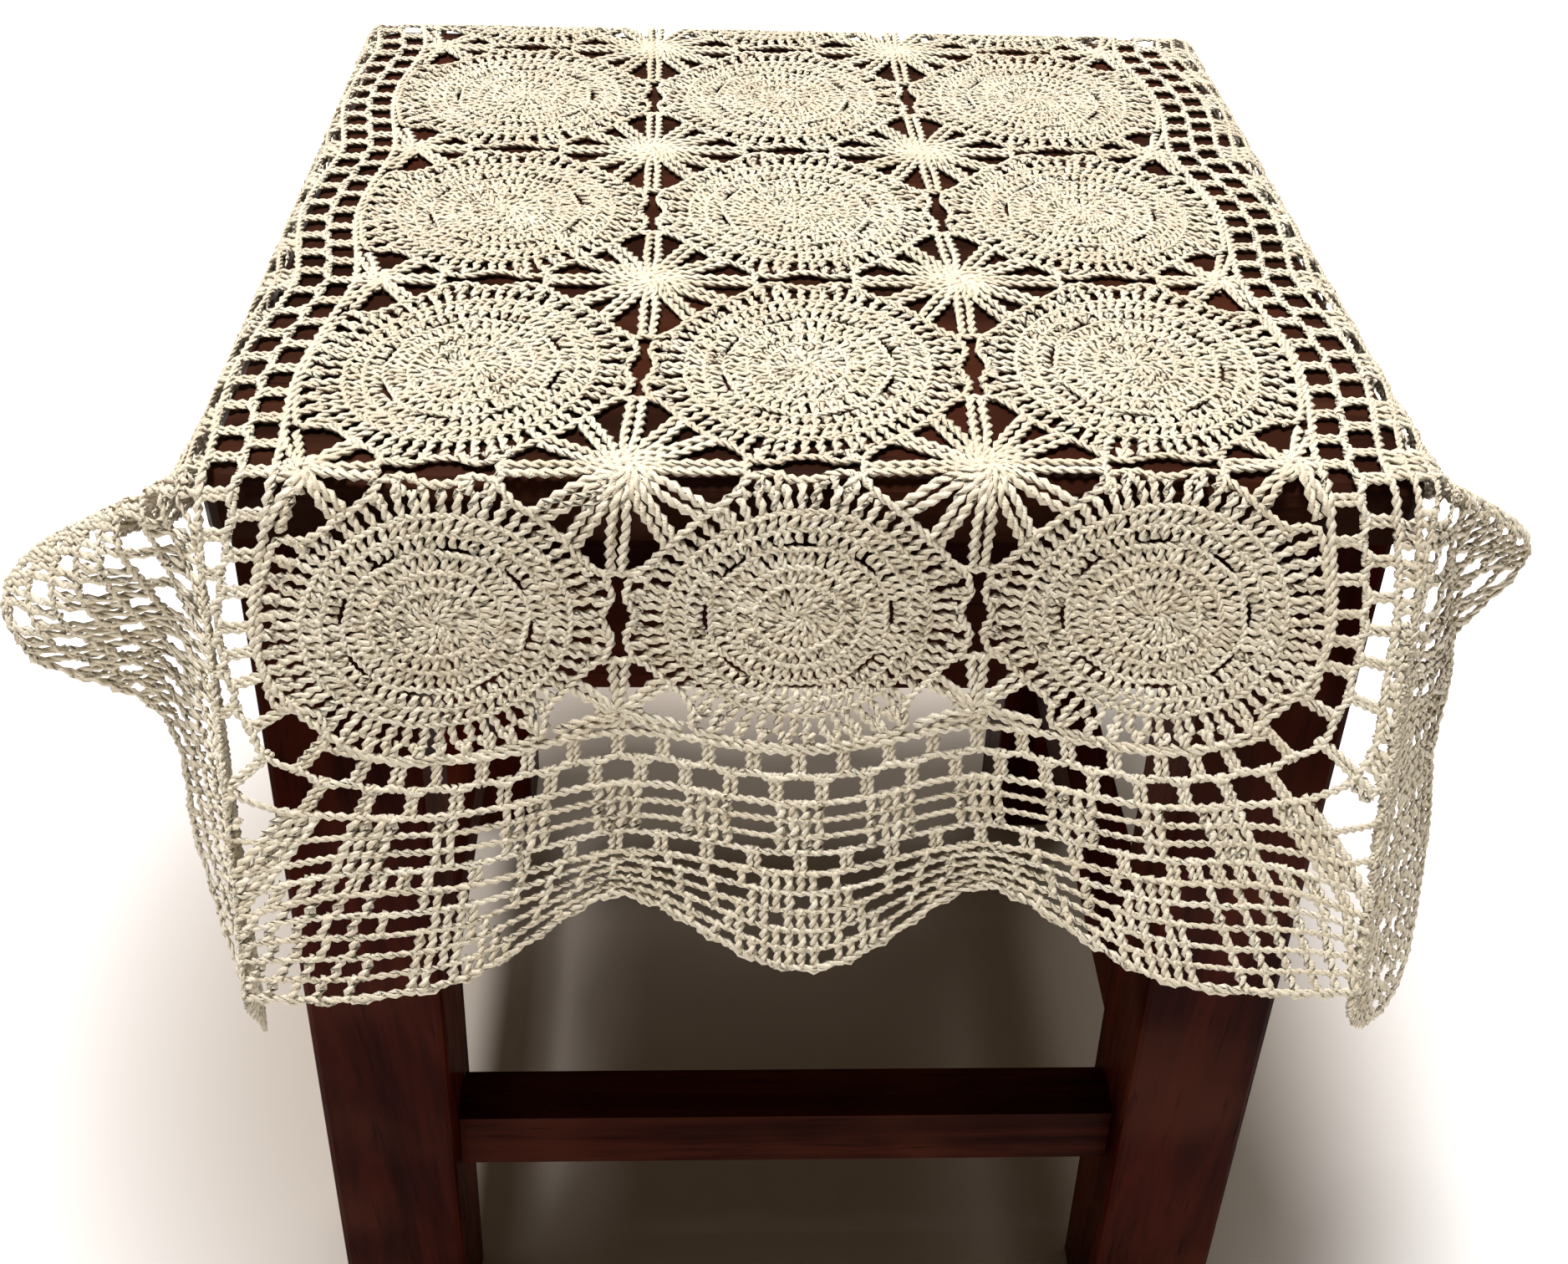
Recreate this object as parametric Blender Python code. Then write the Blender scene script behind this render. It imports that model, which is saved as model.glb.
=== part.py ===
"""A crochet table runner draped over a small square wooden stool.

The runner is one sheet. It is drawn flat, with the gaps of its motifs, stars and border, and each
flat point is then hung over the stool's top by the function hang. Lengths are in metres, +Z is up.
"""
import math

import bpy
import bmesh
from mathutils import Vector
from mathutils.geometry import delaunay_2d_cdt

# Runner, flat
PITCH = 0.100                  # from one round motif to the next
COLUMNS = 3
ROWS = 5
MOTIF_RADIUS = 0.0455
CLOTH_THICKNESS = 0.002
VALLEY_DEPTH = 0.056           # border depth between two scallops
TIP_DEPTH = 0.083              # border depth at a scallop's tip
FIELD_DIP = 0.006              # the first border round is drawn in between two motifs
NET_HEIGHT = 0.019             # two rounds of net
FILET_HEIGHT = 0.0265          # three rounds of blocks and spaces, and one of net
CORNER_GROWTH = 0.5            # the rounds are this much taller on a corner's diagonal
NETS_PER_PITCH = 4
HEM_STEPS_PER_PITCH = 12

# Hem at a corner: angle round the corner motif in degrees, from the long side to the short end,
# and distance from that motif's centre
CORNER_HEM = [(0, 0.133), (22, 0.128), (35, 0.162), (46, 0.189), (56, 0.167), (69, 0.143), (90, 0.133)]

# How the runner lies on the stool
SHIFT_X = -0.0017
SHIFT_Y = -0.0055
TURN = math.radians(1.2)
FRONT_SLIP = 0.009             # the hanging front has slipped to the left
FRONT_SLIDE = 0.008            # and its top row has slid towards the edge
FRONT_FAN = 0.16               # the front skirt spreads sideways towards its hem
FAN_REACH = 0.120

# Stool
STOOL_HEIGHT = 0.450
SEAT_HALF = (0.1725, 0.1685)   # half its width and half its depth
SEAT_THICKNESS = 0.020
SEAT_EDGE = 0.007
SEAT_CORNER = 0.010
LEG_WIDTH = 0.048
LEG_OUTSIDE = 0.166            # from the stool's middle to a leg's outer face, under the seat
LEG_SPLAY = 0.0365             # outward for each metre down, on both outer faces
LEG_BEVEL = 0.0025
APRON_DEPTH = 0.062
APRON_THICKNESS = 0.018
APRON_INSET = 0.008            # an apron's face lies behind the leg's
STRETCHER_HEIGHT = 0.028
STRETCHER_THICKNESS = 0.022
STRETCHER_INSET = 0.013
STRETCHER_TOP = 0.146
JOINT_GAP = 0.0003

# Drape
SHEET_MIDDLE = STOOL_HEIGHT + JOINT_GAP + CLOTH_THICKNESS / 2
FOLD_HALF = (0.1685, 0.1645)   # the sheet starts to bend here, 4 mm inside the seat's edges
FOLD_RADIUS = 0.0085

# Directions in which the skirt hangs. A side's place is the share of its length, and a corner's is
# the angle in degrees, both counterclockwise from above. out is the side's outward normal, along
# is the way round, and down is down. A corner's out and along are those of the side before it.
#        part         place    out  along   down
FOLDS = [
    ("left",        0.05,   0.30,  0.00,  0.95),
    ("left",        0.25,   0.20,  0.00,  0.97),
    ("left",        0.45,   0.28,  0.00,  0.96),
    ("left",        0.65,   0.22,  0.00,  0.97),
    ("left",        0.80,   0.34, -0.06,  0.94),
    ("left",        0.93,   0.54, -0.17,  0.82),
    ("front_left",  6,      0.69, -0.22,  0.69),
    ("front_left",  20,     0.82, -0.19,  0.55),
    ("front_left",  32,     0.79, -0.12,  0.60),
    ("front_left",  40,     0.67, -0.03,  0.74),
    ("front_left",  48,     0.46, -0.11,  0.88),
    ("front_left",  55,     0.29, -0.15,  0.95),
    ("front_left",  59,     0.17, -0.05,  0.98),
    ("front_left",  63,     0.06,  0.10,  0.99),
    ("front_left",  70,     0.02,  0.18,  0.98),
    ("front_left",  82,     0.04,  0.22,  0.97),
    ("front",       0.08,   0.24, -0.04,  0.96),
    ("front",       0.19,   0.21, -0.02,  0.97),
    ("front",       0.35,   0.13, -0.01,  0.99),
    ("front",       0.50,   0.18,  0.01,  0.98),
    ("front",       0.65,   0.13,  0.03,  0.99),
    ("front",       0.81,   0.24,  0.05,  0.96),
    ("front",       0.94,   0.28,  0.06,  0.95),
    ("front_right", 8,      0.28,  0.02,  0.96),
    ("front_right", 19,     0.26,  0.04,  0.96),
    ("front_right", 27,     0.12,  0.17,  0.98),
    ("front_right", 34,    -0.12,  0.31,  0.94),
    ("front_right", 44,    -0.26,  0.37,  0.89),
    ("front_right", 55,    -0.34,  0.66,  0.67),
    ("front_right", 66,    -0.38,  0.73,  0.57),
    ("front_right", 80,    -0.48,  0.64,  0.60),
    ("right",       0.05,   0.46,  0.40,  0.79),
    ("right",       0.18,   0.34,  0.14,  0.93),
    ("right",       0.36,   0.22,  0.00,  0.97),
    ("right",       0.56,   0.30,  0.00,  0.95),
    ("right",       0.78,   0.22,  0.00,  0.97),
    ("right",       0.95,   0.30,  0.00,  0.95),
    ("back_right",  10,     0.24,  0.04,  0.97),
    ("back_right",  26,     0.36,  0.22,  0.91),
    ("back_right",  40,     0.44,  0.48,  0.76),
    ("back_right",  54,     0.34,  0.68,  0.65),
    ("back_right",  66,     0.18,  0.66,  0.73),
    ("back_right",  80,     0.04,  0.44,  0.90),
    ("back",        0.08,   0.20,  0.00,  0.98),
    ("back",        0.20,   0.24,  0.00,  0.97),
    ("back",        0.36,   0.14,  0.00,  0.99),
    ("back",        0.52,   0.22,  0.00,  0.97),
    ("back",        0.67,   0.13,  0.00,  0.99),
    ("back",        0.84,   0.22,  0.00,  0.97),
    ("back",        0.95,   0.22,  0.02,  0.97),
    ("back_left",   10,     0.48, -0.02,  0.87),
    ("back_left",   24,     0.70,  0.04,  0.71),
    ("back_left",   38,     0.76,  0.20,  0.62),
    ("back_left",   52,     0.62,  0.28,  0.73),
    ("back_left",   66,     0.36,  0.24,  0.90),
    ("back_left",   80,     0.14,  0.22,  0.96),
]
SIDE_NORMAL = {"left": (-1, 0), "front": (0, -1), "right": (1, 0), "back": (0, 1)}
SIDE_ORDER = ["left", "front", "right", "back"]
CORNER_AFTER = {"left": "front_left", "front": "front_right", "right": "back_right", "back": "back_left"}
CORNER_SPAN = 0.144            # a corner's share of the way round
ROUND_SPAN = 4 * (FOLD_HALF[0] + FOLD_HALF[1] + CORNER_SPAN)


def clamp(value, low, high):
    return max(low, min(high, value))


def ease(value):
    value = clamp(value, 0.0, 1.0)
    return value * value * (3 - 2 * value)


def along_of(normal):
    """The counterclockwise direction along the side with this outward normal."""
    return (-normal[1], normal[0])


def halves(side):
    """Distance of a side of the flat top from its middle, and half the side's length."""
    return FOLD_HALF if SIDE_NORMAL[side][0] else (FOLD_HALF[1], FOLD_HALF[0])


def hermite(low, high, slope_low, slope_high, share):
    """Smooth value between two knots, with slopes given over the whole step."""
    square, cube = share * share, share ** 3
    return (low * (2 * cube - 3 * square + 1) + slope_low * (cube - 2 * square + share)
            + high * (3 * square - 2 * cube) + slope_high * (cube - square))


def fold_knots():
    """Place round the top, and direction, of each row of FOLDS."""
    starts = {}
    place = 0.0
    for side in SIDE_ORDER:
        span = 2 * halves(side)[1]
        starts[side] = (place, span, SIDE_NORMAL[side])
        starts[CORNER_AFTER[side]] = (place + span, CORNER_SPAN / 90, SIDE_NORMAL[side])
        place += span + CORNER_SPAN
    knots = []
    for part, share, out, along, down in FOLDS:
        start, scale, normal = starts[part]
        tangent = along_of(normal)
        direction = Vector((normal[0] * out + tangent[0] * along, normal[1] * out + tangent[1] * along, -down))
        knots.append((start + share * scale, direction.normalized()))
    return knots


KNOTS = fold_knots()


def hang_direction(place):
    """Direction of the skirt at a place round the top, through the rows of FOLDS."""
    count = len(KNOTS)
    place %= ROUND_SPAN
    index = max([i for i in range(count) if KNOTS[i][0] <= place], default=-1)

    def knot(i):
        return KNOTS[i % count][0] + ROUND_SPAN * (i // count), KNOTS[i % count][1]

    (p0, d0), (p1, d1), (p2, d2), (p3, d3) = (knot(index + step) for step in (-1, 0, 1, 2))
    step = p2 - p1
    slope_low = (d2 - d0) * (step / (p2 - p0))
    slope_high = (d3 - d1) * (step / (p3 - p1))
    return hermite(d1, d2, slope_low, slope_high, (place - p1) / step).normalized()


def round_place(x, y):
    """Nearest point of the flat top, distance beyond it, heading, and place round the top."""
    near = Vector((clamp(x, -FOLD_HALF[0], FOLD_HALF[0]), clamp(y, -FOLD_HALF[1], FOLD_HALF[1]), 0))
    offset = Vector((x, y, 0)) - near
    reach = offset.length
    if reach < 1e-7:
        return near, 0.0, None, 0.0
    heading = offset / reach
    start = 0.0
    for side in SIDE_ORDER:
        normal = Vector((*SIDE_NORMAL[side], 0))
        tangent = Vector((*along_of(SIDE_NORMAL[side]), 0))
        across, ahead = heading.dot(normal), heading.dot(tangent)
        half_span = halves(side)[1]
        if across > 0.999999:
            return near, reach, heading, start + near.dot(tangent) + half_span
        if across > 0 and ahead > 0:
            angle = math.atan2(ahead, across)
            return near, reach, heading, start + 2 * half_span + CORNER_SPAN * angle / (math.pi / 2)
        start += 2 * half_span + CORNER_SPAN


def on_table(u, v):
    """Where a flat point lies over the stool's top, before it is hung."""
    x = SHIFT_X + math.cos(TURN) * u - math.sin(TURN) * v
    y = SHIFT_Y + math.sin(TURN) * u + math.cos(TURN) * v
    drop = max(-y - 0.174, 0.0)
    fan = FRONT_FAN * clamp(x, -FAN_REACH, FAN_REACH) * (drop / 0.160) ** 2
    slid = FRONT_SLIDE * ease((-y - 0.044) / 0.120) * (1 - ease((-y - 0.164) / 0.090))
    return x - FRONT_SLIP * ease((-y - 0.054) / 0.160) + fan, y - slid


def hang(x, y):
    """The sheet's middle at a point over the table: flat, then round the bend, then straight."""
    near, reach, heading, place = round_place(x, y)
    top = Vector((near.x, near.y, SHEET_MIDDLE))
    if heading is None:
        return top
    direction = hang_direction(place)
    bend = heading.angle(direction)
    inward = (direction - heading * math.cos(bend)).normalized()
    turned = min(reach / FOLD_RADIUS, bend)
    arc = heading * math.sin(turned) + inward * (1 - math.cos(turned))
    return top + arc * FOLD_RADIUS + direction * max(reach - FOLD_RADIUS * bend, 0.0)


def scallop(pitches):
    """Share of a tip at a place along the border, in pitches from a motif's centre: 1 at a tip."""
    return abs(math.cos(math.pi * pitches)) ** 1.5


def corner_hem(angle):
    """Distance of a corner's hem from the corner motif's centre, through CORNER_HEM."""
    rows = [(-24, 0.127)] + CORNER_HEM + [(114, 0.127)]
    index = max(i for i in range(1, len(rows) - 2) if rows[i][0] <= angle)
    (a0, r0), (a1, r1), (a2, r2), (a3, r3) = rows[index - 1:index + 3]
    step = a2 - a1
    return hermite(r1, r2, (r2 - r0) * step / (a2 - a0), (r3 - r1) * step / (a3 - a1), (angle - a1) / step)


def border_stations():
    """The four corners and four straight runs of the border, counterclockwise."""
    half_u, half_v = (COLUMNS - 1) / 2 * PITCH, (ROWS - 1) / 2 * PITCH
    runs = []
    for normal, length in (((-1, 0), ROWS - 1), ((0, -1), COLUMNS - 1), ((1, 0), ROWS - 1), ((0, 1), COLUMNS - 1)):
        tangent = along_of(normal)
        middle = (normal[0] * half_u, normal[1] * half_v)
        runs.append((normal, tangent, middle, length))
    return runs


def run_point(run, pitches, depth):
    """Flat point of a straight run: pitches from its start, depth beyond the motifs' field."""
    normal, tangent, middle, length = run
    along = (pitches - length / 2) * PITCH
    out = PITCH / 2 + depth
    return (middle[0] + tangent[0] * along + normal[0] * out, middle[1] + tangent[1] * along + normal[1] * out)


def corner_point(run, angle, distance):
    """Flat point of the corner after a run: angle in degrees from the run's normal."""
    normal, tangent, middle, length = run
    along = length / 2 * PITCH
    turn = math.radians(angle)
    out, ahead = math.cos(turn) * distance, along + math.sin(turn) * distance
    return (middle[0] + tangent[0] * ahead + normal[0] * out, middle[1] + tangent[1] * ahead + normal[1] * out)


def growth(angle):
    """How much taller the rounds are at an angle of a corner."""
    return 1 + CORNER_GROWTH * math.sin(math.radians(2 * angle)) ** 2


def hem_outline():
    """The runner's scalloped outline, counterclockwise from above."""
    points = []
    for run in border_stations():
        length = run[3]
        for step in range(length * HEM_STEPS_PER_PITCH):
            pitches = step / HEM_STEPS_PER_PITCH
            depth = VALLEY_DEPTH + (TIP_DEPTH - VALLEY_DEPTH) * scallop(pitches)
            points.append(run_point(run, pitches, depth))
        long_first = run[0][0] != 0
        for angle in range(0, 90, 6):
            distance = corner_hem(angle if long_first else 90 - angle)
            points.append(corner_point(run, angle, distance))
    return points


def motif_centres():
    return [((column - (COLUMNS - 1) / 2) * PITCH, (row - (ROWS - 1) / 2) * PITCH)
            for row in range(ROWS) for column in range(COLUMNS)]


def joint_gaps():
    """Hexagonal gaps where two motifs meet."""
    gaps = []
    for u, v in motif_centres():
        if u < (COLUMNS - 1) / 2 * PITCH - 0.001:
            beside, across, along = u + PITCH / 2, 0.0035, 0.0065
            gaps.append([(beside + across * a, v + along * b)
                         for a, b in ((0, -1), (1, -0.45), (1, 0.45), (0, 1), (-1, 0.45), (-1, -0.45))])
        if v < (ROWS - 1) / 2 * PITCH - 0.001:
            above, across, along = v + PITCH / 2, 0.0080, 0.0040
            gaps.append([(u + across * a, above + along * b)
                         for a, b in ((-1, 0), (-0.5, -1), (0.5, -1), (1, 0), (0.5, 1), (-0.5, 1))])
    return gaps


# Corners of a star's gaps: distance from its centre, and degrees from a straight spoke
GAP_BESIDE_SPOKE = [(0.0143, 11), (0.0301, 5.5), (0.0306, 10), (0.0240, 25), (0.0195, 23)]
GAP_ON_DIAGONAL = [(0.0150, 45), (0.0215, 37), (0.0265, 38), (0.0265, 52), (0.0215, 53)]
# Corners of a half star's gaps: across from its centre, and inward from the field's edge
HALF_STAR_DEPTH = 0.013
HALF_STAR_GAPS = [
    [(0.0022, 0.0072), (0.0065, 0.0072), (0.0084, 0.0104), (0.0026, 0.0146)],
    [(0.0092, -0.0020), (0.0098, -0.0055), (0.0165, -0.0040), (0.0136, 0.0055)],
]


def star_gaps():
    """Gaps of the whole stars: two beside each straight spoke, and one on each diagonal."""
    gaps = []
    for column in range(COLUMNS - 1):
        for row in range(ROWS - 1):
            u = (column + 1 - COLUMNS / 2) * PITCH
            v = (row + 1 - ROWS / 2) * PITCH
            for spoke in range(4):
                for shape, hand in ((GAP_BESIDE_SPOKE, -1), (GAP_BESIDE_SPOKE, 1), (GAP_ON_DIAGONAL, 1)):
                    turns = [(reach, math.radians(90 * spoke + hand * angle)) for reach, angle in shape]
                    gaps.append([(u + reach * math.cos(turn), v + reach * math.sin(turn)) for reach, turn in turns])
    return gaps


def half_star_gaps():
    """Gaps of the half stars, between each two motifs along the field's edge."""
    gaps = []
    for run in border_stations():
        for joint in range(run[3]):
            for shape in HALF_STAR_GAPS:
                for hand in (-1, 1):
                    gaps.append([run_point(run, joint + 0.5 + hand * across / PITCH, -HALF_STAR_DEPTH - inward)
                                 for across, inward in shape])
    return gaps


def border_gaps():
    """Net gaps at twice the net's pitch, and the open columns of the filet rounds, all round."""
    gaps = []
    bar = 0.0030
    net_low, net_high = bar, NET_HEIGHT - bar / 3
    filet_low, filet_high = NET_HEIGHT + bar / 2, NET_HEIGHT + FILET_HEIGHT - bar / 3
    net_half, filet_half = 0.0090 / PITCH, 0.0048 / PITCH
    for run in border_stations():
        for index in range(run[3] * NETS_PER_PITCH):
            middle = (index + 0.5) / NETS_PER_PITCH
            for low, high, half in ((net_low, net_high, net_half), (filet_low, filet_high, filet_half)):
                corners = []
                for side, depth in ((-1, low), (1, low), (1, high), (-1, high)):
                    pitches = middle + side * half
                    dip = FIELD_DIP * (1 - scallop(pitches))
                    corners.append(run_point(run, pitches, depth - dip))
                gaps.append(corners)
        for angles, low, high, half in (((15, 45, 75), net_low, net_high, 0.0085),
                                        ((9, 27, 45, 63, 81), filet_low, filet_high, 0.0058)):
            for middle in angles:
                corners = []
                for side, depth in ((-1, low), (1, low), (1, high), (-1, high)):
                    distance = MOTIF_RADIUS + 0.002 + depth * growth(middle)
                    angle = middle + side * math.degrees(half / distance)
                    corners.append(corner_point(run, angle, distance))
                gaps.append(corners)
    return gaps


def counterclockwise(loop):
    """The loop, turned round where it runs clockwise."""
    twice_area = sum(a[0] * b[1] - a[1] * b[0] for a, b in zip(loop, loop[1:] + loop[:1]))
    return loop if twice_area > 0 else loop[::-1]


def guide_rings():
    """Lines round the top that keep the triangles from cutting across the bend."""
    rings = []
    bend = math.pi / 2 * FOLD_RADIUS
    for reach in (0.0005, bend / 3, bend * 2 / 3, bend):
        ring = []
        for side in SIDE_ORDER:
            normal, tangent = SIDE_NORMAL[side], along_of(SIDE_NORMAL[side])
            edge, half_span = halves(side)
            for step in range(12):
                along = half_span * (step / 6 - 1)
                ring.append((normal[0] * (edge + reach) + tangent[0] * along,
                             normal[1] * (edge + reach) + tangent[1] * along))
            for step in range(6):
                turn = math.pi / 2 * step / 6
                out, ahead = edge + reach * math.cos(turn), half_span + reach * math.sin(turn)
                ring.append((normal[0] * out + tangent[0] * ahead, normal[1] * out + tangent[1] * ahead))
        rings.append(ring)
    return rings


def skirt_points():
    """Loose points that let the corners' folds and the skirts' waves show in the triangles."""
    points = []
    for side in SIDE_ORDER:
        normal, tangent = SIDE_NORMAL[side], along_of(SIDE_NORMAL[side])
        edge, half_span = halves(side)
        for reach in (0.032, 0.052, 0.074, 0.098, 0.124, 0.152):
            for step in range(1, 10):
                turn = math.pi / 2 * step / 10
                out, ahead = edge + reach * math.cos(turn), half_span + reach * math.sin(turn)
                points.append((normal[0] * out + tangent[0] * ahead, normal[1] * out + tangent[1] * ahead))
    for run in border_stations():
        for index in range(run[3] * NETS_PER_PITCH + 1):
            pitches = index / NETS_PER_PITCH
            depth = 0.050 + 0.014 * scallop(pitches)
            points.append(on_table(*run_point(run, pitches, depth)))
    for u, v in motif_centres():
        if abs(v) > (ROWS - 1.5) / 2 * PITCH:
            points.append(on_table(u, v))
            for step in range(8):
                turn = math.pi / 4 * step
                points.append(on_table(u + 0.028 * math.cos(turn), v + 0.028 * math.sin(turn)))
    return points


def inside(point, outline):
    """Whether a flat point lies inside a closed outline."""
    x, y = point
    crossings = 0
    for (x0, y0), (x1, y1) in zip(outline, outline[1:] + outline[:1]):
        if (y0 > y) != (y1 > y) and x < x0 + (x1 - x0) * (y - y0) / (y1 - y0):
            crossings += 1
    return crossings % 2 == 1


def near_outline(point, outline, distance):
    """Whether a flat point lies closer than distance to a closed outline's edges."""
    at = Vector(point)
    for first, second in zip(outline, outline[1:] + outline[:1]):
        start, run = Vector(first), Vector(second) - Vector(first)
        share = clamp((at - start).dot(run) / max(run.length_squared, 1e-12), 0, 1)
        if (at - start - run * share).length < distance:
            return True
    return False


def flat_sheet():
    """Points and triangles of the sheet over the table, with its gaps left out."""
    outline = [on_table(*point) for point in hem_outline()]
    gaps = [counterclockwise([on_table(*point) for point in gap])
            for gap in joint_gaps() + star_gaps() + half_star_gaps() + border_gaps()]
    points, edges, faces = [], [], []
    for loop in [outline] + gaps:
        start = len(points)
        points.extend(Vector(point) for point in loop)
        faces.append(list(range(start, start + len(loop))))
    for ring in guide_rings():
        start = len(points)
        points.extend(Vector(point) for point in ring)
        edges.extend((start + i, start + (i + 1) % len(ring)) for i in range(len(ring)))
    ring_count = len(guide_rings()[0])
    for point in skirt_points():
        clear = inside(point, outline) and not near_outline(point, outline, 0.006)
        if clear and not any(inside(point, gap) or near_outline(point, gap, 0.004) for gap in gaps):
            points.append(Vector(point))
    inside_constraints = 1
    points, _, triangles, _, _, owners = delaunay_2d_cdt(points, edges, faces, inside_constraints, 1e-6)
    kept = [triangle for triangle, owner in zip(triangles, owners) if owner == [0]]
    return points, kept


def material(name, color, roughness):
    """A Principled material of one colour."""
    made = bpy.data.materials.new(name)
    made.use_nodes = True
    shader = made.node_tree.nodes["Principled BSDF"]
    shader.inputs["Base Color"].default_value = (*color, 1)
    shader.inputs["Roughness"].default_value = roughness
    shader.inputs["Metallic"].default_value = 0.0
    return made


def new_object(name, shape, finish):
    """An object from a bmesh, with one material."""
    mesh = bpy.data.meshes.new(name)
    shape.to_mesh(mesh)
    shape.free()
    mesh.materials.append(finish)
    made = bpy.data.objects.new(name, mesh)
    bpy.context.scene.collection.objects.link(made)
    return made


def sheet_normal(x, y):
    """The sheet's upward or outward normal where the flat point (x, y) hangs."""
    step = 0.0002
    across = hang(x + step, y) - hang(x - step, y)
    ahead = hang(x, y + step) - hang(x, y - step)
    return across.cross(ahead).normalized()


def table_runner(finish):
    """The crochet sheet, hung over the top: two faces a thickness apart, and a rim round each gap."""
    points, triangles = flat_sheet()
    shape = bmesh.new()
    outer, inner = {}, {}
    for index in sorted({corner for triangle in triangles for corner in triangle}):
        x, y = points[index]
        middle, half = hang(x, y), sheet_normal(x, y) * CLOTH_THICKNESS / 2
        outer[index] = shape.verts.new(middle + half)
        inner[index] = shape.verts.new(middle - half)
    sides = set()
    for a, b, c in triangles:
        shape.faces.new((outer[a], outer[b], outer[c]))
        shape.faces.new((inner[c], inner[b], inner[a]))
        sides.update(((a, b), (b, c), (c, a)))
    for a, b in sorted(sides):
        if (b, a) not in sides:
            shape.faces.new((outer[b], outer[a], inner[a], inner[b]))
    made = new_object("table_runner", shape, finish)
    made.data.shade_smooth()
    made.data.set_sharp_from_angle(angle=math.radians(50))
    return made


def prism(lower, upper):
    """A closed solid between two outlines with the same number of corners."""
    shape = bmesh.new()
    low = [shape.verts.new(point) for point in lower]
    high = [shape.verts.new(point) for point in upper]
    shape.faces.new(low[::-1])
    shape.faces.new(high)
    for index in range(len(low)):
        after = (index + 1) % len(low)
        shape.faces.new((low[index], low[after], high[after], high[index]))
    bmesh.ops.recalc_face_normals(shape, faces=shape.faces)
    return shape


def seat_board(finish):
    """The stool's square top, rounded in plan and round its upper edge."""
    outline = []
    inner_x, inner_y = SEAT_HALF[0] - SEAT_CORNER, SEAT_HALF[1] - SEAT_CORNER
    for side in range(4):
        for step in range(5):
            turn = math.pi / 2 * (side + step / 4)
            corner = math.pi / 4 + math.pi / 2 * side
            sign_x, sign_y = math.copysign(1, math.cos(corner)), math.copysign(1, math.sin(corner))
            outline.append((sign_x * inner_x + SEAT_CORNER * math.cos(turn),
                            sign_y * inner_y + SEAT_CORNER * math.sin(turn)))
    bottom = STOOL_HEIGHT - SEAT_THICKNESS
    shape = prism([(x, y, bottom) for x, y in outline], [(x, y, STOOL_HEIGHT) for x, y in outline])
    rim = [edge for edge in shape.edges if all(v.co.z > STOOL_HEIGHT - 1e-6 for v in edge.verts)]
    bmesh.ops.bevel(shape, geom=rim, offset=SEAT_EDGE, segments=3, profile=0.5, affect="EDGES")
    made = new_object("seat_board", shape, finish)
    made.data.shade_smooth()
    made.data.set_sharp_from_angle(angle=math.radians(50))
    return made


def leg_outside(z):
    """Distance of a leg's outer faces from the stool's middle at a height."""
    return LEG_OUTSIDE + LEG_SPLAY * (STOOL_HEIGHT - SEAT_THICKNESS - z)


def leg(name, sign_x, sign_y, finish):
    """One splayed square leg, from the floor to the seat, with softened long edges."""
    top = STOOL_HEIGHT - SEAT_THICKNESS - JOINT_GAP
    ends = []
    for z in (0.0, top):
        outer = leg_outside(z)
        inner = outer - LEG_WIDTH
        ends.append([(sign_x * x, sign_y * y, z)
                     for x, y in ((inner, inner), (outer, inner), (outer, outer), (inner, outer))])
    shape = prism(*ends)
    upright = [edge for edge in shape.edges if abs(edge.verts[0].co.z - edge.verts[1].co.z) > top / 2]
    bmesh.ops.bevel(shape, geom=upright, offset=LEG_BEVEL, segments=2, profile=0.5, affect="EDGES")
    return new_object(name, shape, finish)


def rail(name, side, top, height, thickness, inset, finish):
    """A flat rail between two legs, tilted with them, its ends a joint's gap from the legs."""
    normal, tangent = SIDE_NORMAL[side], along_of(SIDE_NORMAL[side])
    levels = []
    for z in (top - height, top):
        face = leg_outside(z) - inset
        end = leg_outside(z) - LEG_WIDTH - JOINT_GAP
        outline = []
        for out, ahead in ((face, -end), (face, end), (face - thickness, end), (face - thickness, -end)):
            outline.append((normal[0] * out + tangent[0] * ahead, normal[1] * out + tangent[1] * ahead, z))
        levels.append(outline)
    return new_object(name, prism(*levels), finish)


def clear_scene():
    for existing in list(bpy.data.objects):
        bpy.data.objects.remove(existing, do_unlink=True)


def centre_on_floor(pieces):
    """Parent all pieces to an empty that puts the middle of their common box over the origin."""
    bpy.context.view_layer.update()
    graph = bpy.context.evaluated_depsgraph_get()
    corners = [vertex.co.copy() for piece in pieces for vertex in piece.evaluated_get(graph).data.vertices]
    middle_x = (min(c.x for c in corners) + max(c.x for c in corners)) / 2
    middle_y = (min(c.y for c in corners) + max(c.y for c in corners)) / 2
    base = bpy.data.objects.new("runner_and_stool", None)
    bpy.context.scene.collection.objects.link(base)
    base.location = (-middle_x, -middle_y, 0)
    for piece in pieces:
        piece.parent = base


def build():
    clear_scene()
    yarn = material("cotton_yarn", (0.72, 0.66, 0.53), 0.9)
    wood = material("dark_wood", (0.075, 0.022, 0.014), 0.45)
    pieces = [table_runner(yarn), seat_board(wood)]
    for across, sign_x in (("left", -1), ("right", 1)):
        for depth, sign_y in (("front", -1), ("back", 1)):
            pieces.append(leg(f"leg_{depth}_{across}", sign_x, sign_y, wood))
    apron_top = STOOL_HEIGHT - SEAT_THICKNESS - JOINT_GAP
    for side in SIDE_ORDER:
        pieces.append(rail(f"apron_{side}", side, apron_top, APRON_DEPTH, APRON_THICKNESS, APRON_INSET, wood))
        pieces.append(rail(f"stretcher_{side}", side, STRETCHER_TOP, STRETCHER_HEIGHT, STRETCHER_THICKNESS,
                           STRETCHER_INSET, wood))
    centre_on_floor(pieces)


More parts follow.
